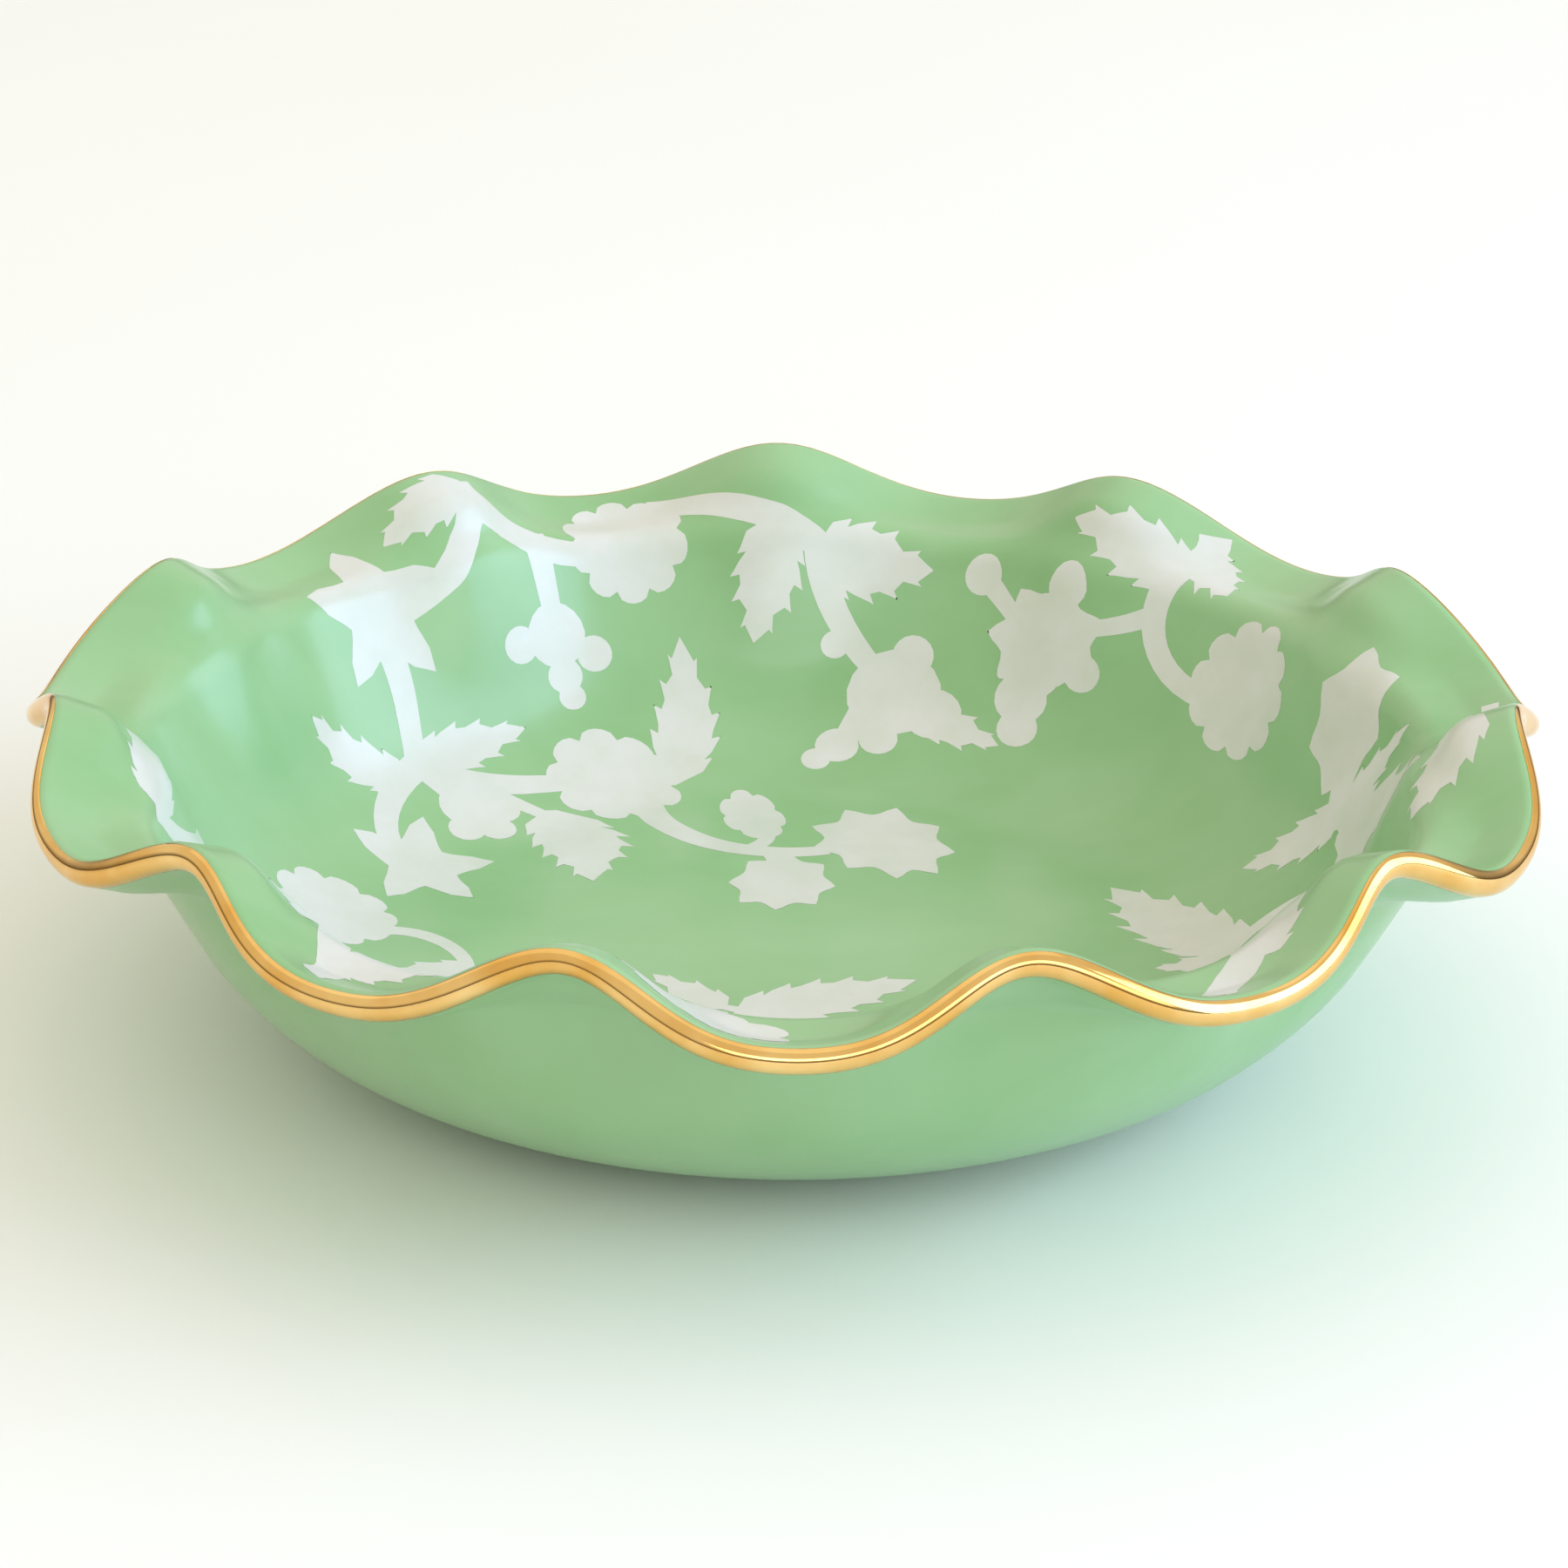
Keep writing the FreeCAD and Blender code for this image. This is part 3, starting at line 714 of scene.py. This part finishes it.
def settle_enamel(form, piece, glaze):
    """Let a spray lie on the glaze: its face stands just proud, and its back is fired in."""
    facing = [vertex.normal.copy() for vertex in piece.data.vertices]
    for vertex, outward in zip(piece.data.vertices, facing):
        found, place, normal, face = glaze.closest_point_on_mesh(vertex.co)
        if normal.z < 0:
            normal = -normal
            place = place + normal * form.glaze_thickness
        lean = outward.dot(normal)
        height = (vertex.co - place).dot(normal)
        stands_up = height > form.edge_height * form.enamel_thickness
        on_face = lean > form.edge_leaning or (stands_up and lean > -form.edge_leaning)
        lift = form.enamel_proud if on_face else form.enamel_proud - form.enamel_thickness
        vertex.co = place + normal * lift


class SERVINGBOWL_OT_enamel_sprays(bpy.types.Operator):
    """Fire the enamel sprays into the inner glaze, each from its own CAD solid"""

    bl_idname = "serving_bowl.enamel_sprays"
    bl_label = "Enamel Sprays"

    def execute(self, context):
        form = context.scene.bowl_form
        finish = context.scene.bowl_finish
        enamel = white_enamel("White enamel", finish.enamel_light, finish.enamel_thin)
        glaze = bpy.data.objects["glaze_inside"]
        for node in SPRAYS:
            piece = bpy.data.objects.new("enamel_" + node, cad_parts[node].data.copy())
            context.scene.collection.objects.link(piece)
            set_active(piece)
            bpy.ops.object.mode_set(mode="EDIT")
            bpy.ops.mesh.select_all(action="SELECT")
            bpy.ops.mesh.remove_doubles(threshold=SAME_CORNER)
            bpy.ops.mesh.subdivide(number_cuts=ENAMEL_CUTS)
            bpy.ops.object.mode_set(mode="OBJECT")
            settle_enamel(form, piece, glaze)
            bpy.ops.object.shade_smooth()
            gloss = piece.modifiers.new("Glaze normals", "DATA_TRANSFER")
            gloss.object = glaze
            gloss.use_loop_data = True
            gloss.data_types_loops = {"CUSTOM_NORMAL"}
            gloss.loop_mapping = "POLYINTERP_NEAREST"
            bpy.ops.object.modifier_apply(modifier=gloss.name)
            dress(piece, enamel)
            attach(piece, BODY)
            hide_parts(node)
        return {"FINISHED"}


class SERVINGBOWL_OT_stage(bpy.types.Operator):
    """Set the floor, the studio lights and the camera"""

    bl_idname = "serving_bowl.stage"
    bl_label = "Stage"

    def execute(self, context):
        studio = context.scene.bowl_studio
        finish = context.scene.bowl_finish
        lay_floor(studio, finish)
        hang_lights(context.scene, studio)
        place_camera(context.scene, studio)
        return {"FINISHED"}


def lay_floor(studio, finish):
    """Plain pale floor, far wider than the view."""
    deselect_all()
    bpy.ops.mesh.primitive_plane_add(size=studio.floor_width, location=(0, 0, 0))
    floor = bpy.context.object
    floor.name = "studio_floor"
    bpy.ops.object.mode_set(mode="EDIT")
    bpy.ops.mesh.select_all(action="SELECT")
    bpy.ops.mesh.subdivide(number_cuts=FLOOR_CUTS)
    bpy.ops.object.mode_set(mode="OBJECT")
    dress(floor, pale_floor("Pale floor", finish.table_light, finish.table_dark))


def softbox(name, place, size, power, tint):
    """Large rectangular light aimed at the middle of the bowl."""
    lamp = bpy.data.lights.new(name, "AREA")
    lamp.shape = "RECTANGLE"
    lamp.size, lamp.size_y = size
    lamp.energy = power
    lamp.color = linear(tint)[:3]
    box = bpy.data.objects.new(name, lamp)
    bpy.context.scene.collection.objects.link(box)
    box.location = place
    aim = Vector(MIDDLE) - Vector(place)
    box.rotation_euler = aim.to_track_quat("-Z", "Y").to_euler()


def hang_lights(scene, studio):
    """Cool window-like key at the right, broad overhead and front fill, in a warm pale room."""
    for name, place, size, power, tint in SOFTBOXES:
        softbox(name, place, size, power, tint)
    world = bpy.data.worlds.new("Studio room")
    scene.world = world
    world.use_nodes = True
    place = add_node(world, "ShaderNodeTexCoord").outputs["Generated"]
    height = add_node(world, "ShaderNodeSeparateXYZ", {"Vector": place}).outputs["Z"]
    rise = between(world, height, low=0.0, high=1.0, from_low=0.0, from_high=studio.dark_band)
    room = mix_colours(world, rise, studio.room_low, studio.room_high)
    background = world.node_tree.nodes["Background"]
    background.inputs["Strength"].default_value = studio.room_strength
    world.node_tree.links.new(room, background.inputs["Color"])
    scene.view_settings.view_transform = "Standard"


def place_camera(scene, studio):
    """Camera at its angle on the middle of the rim, with a slight droop and roll."""
    middle = Vector((0, 0, studio.camera_target))
    level = math.cos(studio.camera_elevation)
    place = middle + studio.camera_distance * Vector((
        level * math.cos(studio.camera_azimuth),
        level * math.sin(studio.camera_azimuth),
        math.sin(studio.camera_elevation),
    ))
    ahead = (middle - place).normalized()
    right = ahead.cross(Vector((0, 0, 1))).normalized()
    up = right.cross(ahead)
    droop = Matrix.Rotation(-studio.camera_droop, 3, right)
    ahead = droop @ ahead
    up = droop @ up
    roll = Matrix.Rotation(-studio.camera_roll, 3, ahead)
    right = roll @ right
    up = roll @ up
    lens = bpy.data.cameras.new("Studio camera")
    lens.lens = studio.camera_lens
    lens.sensor_width = 36.0
    lens.clip_start = 0.01
    lens.clip_end = 50.0
    camera = bpy.data.objects.new("Studio camera", lens)
    scene.collection.objects.link(camera)
    turn = Matrix((right, up, -ahead)).transposed()
    camera.matrix_world = Matrix.Translation(place) @ turn.to_4x4()
    scene.camera = camera


class SERVINGBOWL_PT_panel(bpy.types.Panel):
    """Steps and sizes of the serving bowl"""

    bl_idname = "SERVINGBOWL_PT_panel"
    bl_label = "Serving Bowl"
    bl_space_type = "VIEW_3D"
    bl_region_type = "UI"
    bl_category = "Serving Bowl"

    def draw(self, context):
        for step in STEPS:
            self.layout.operator(step.bl_idname)
        for group in (getattr(context.scene, name) for name in GROUPS):
            box = self.layout.box()
            for name in group.__annotations__:
                box.prop(group, name)


STEPS = (
    SERVINGBOWL_OT_clay_body,
    SERVINGBOWL_OT_inner_glaze,
    SERVINGBOWL_OT_outer_glaze,
    SERVINGBOWL_OT_gold_rim,
    SERVINGBOWL_OT_enamel_sprays,
    SERVINGBOWL_OT_stage,
)
GROUPS = {
    "bowl_form": SERVINGBOWL_PG_form,
    "bowl_finish": SERVINGBOWL_PG_finish,
    "bowl_studio": SERVINGBOWL_PG_studio,
}


def register():
    """Register the classes, and hang the sizes and colours on the scene."""
    for group in GROUPS.values():
        bpy.utils.register_class(group)
    for step in (*STEPS, SERVINGBOWL_PT_panel):
        bpy.utils.register_class(step)
    for name, group in GROUPS.items():
        setattr(bpy.types.Scene, name, bpy.props.PointerProperty(type=group))


def unregister():
    """Take away all that register adds."""
    for name in GROUPS:
        delattr(bpy.types.Scene, name)
    for step in (SERVINGBOWL_PT_panel, *reversed(STEPS)):
        bpy.utils.unregister_class(step)
    for group in GROUPS.values():
        bpy.utils.unregister_class(group)


def main():
    """Make the bowl and its stage."""
    register()
    bpy.ops.serving_bowl.clay_body()
    bpy.ops.serving_bowl.inner_glaze()
    bpy.ops.serving_bowl.outer_glaze()
    bpy.ops.serving_bowl.gold_rim()
    bpy.ops.serving_bowl.enamel_sprays()
    bpy.ops.serving_bowl.stage()


if __name__ == "__main__":
    main()
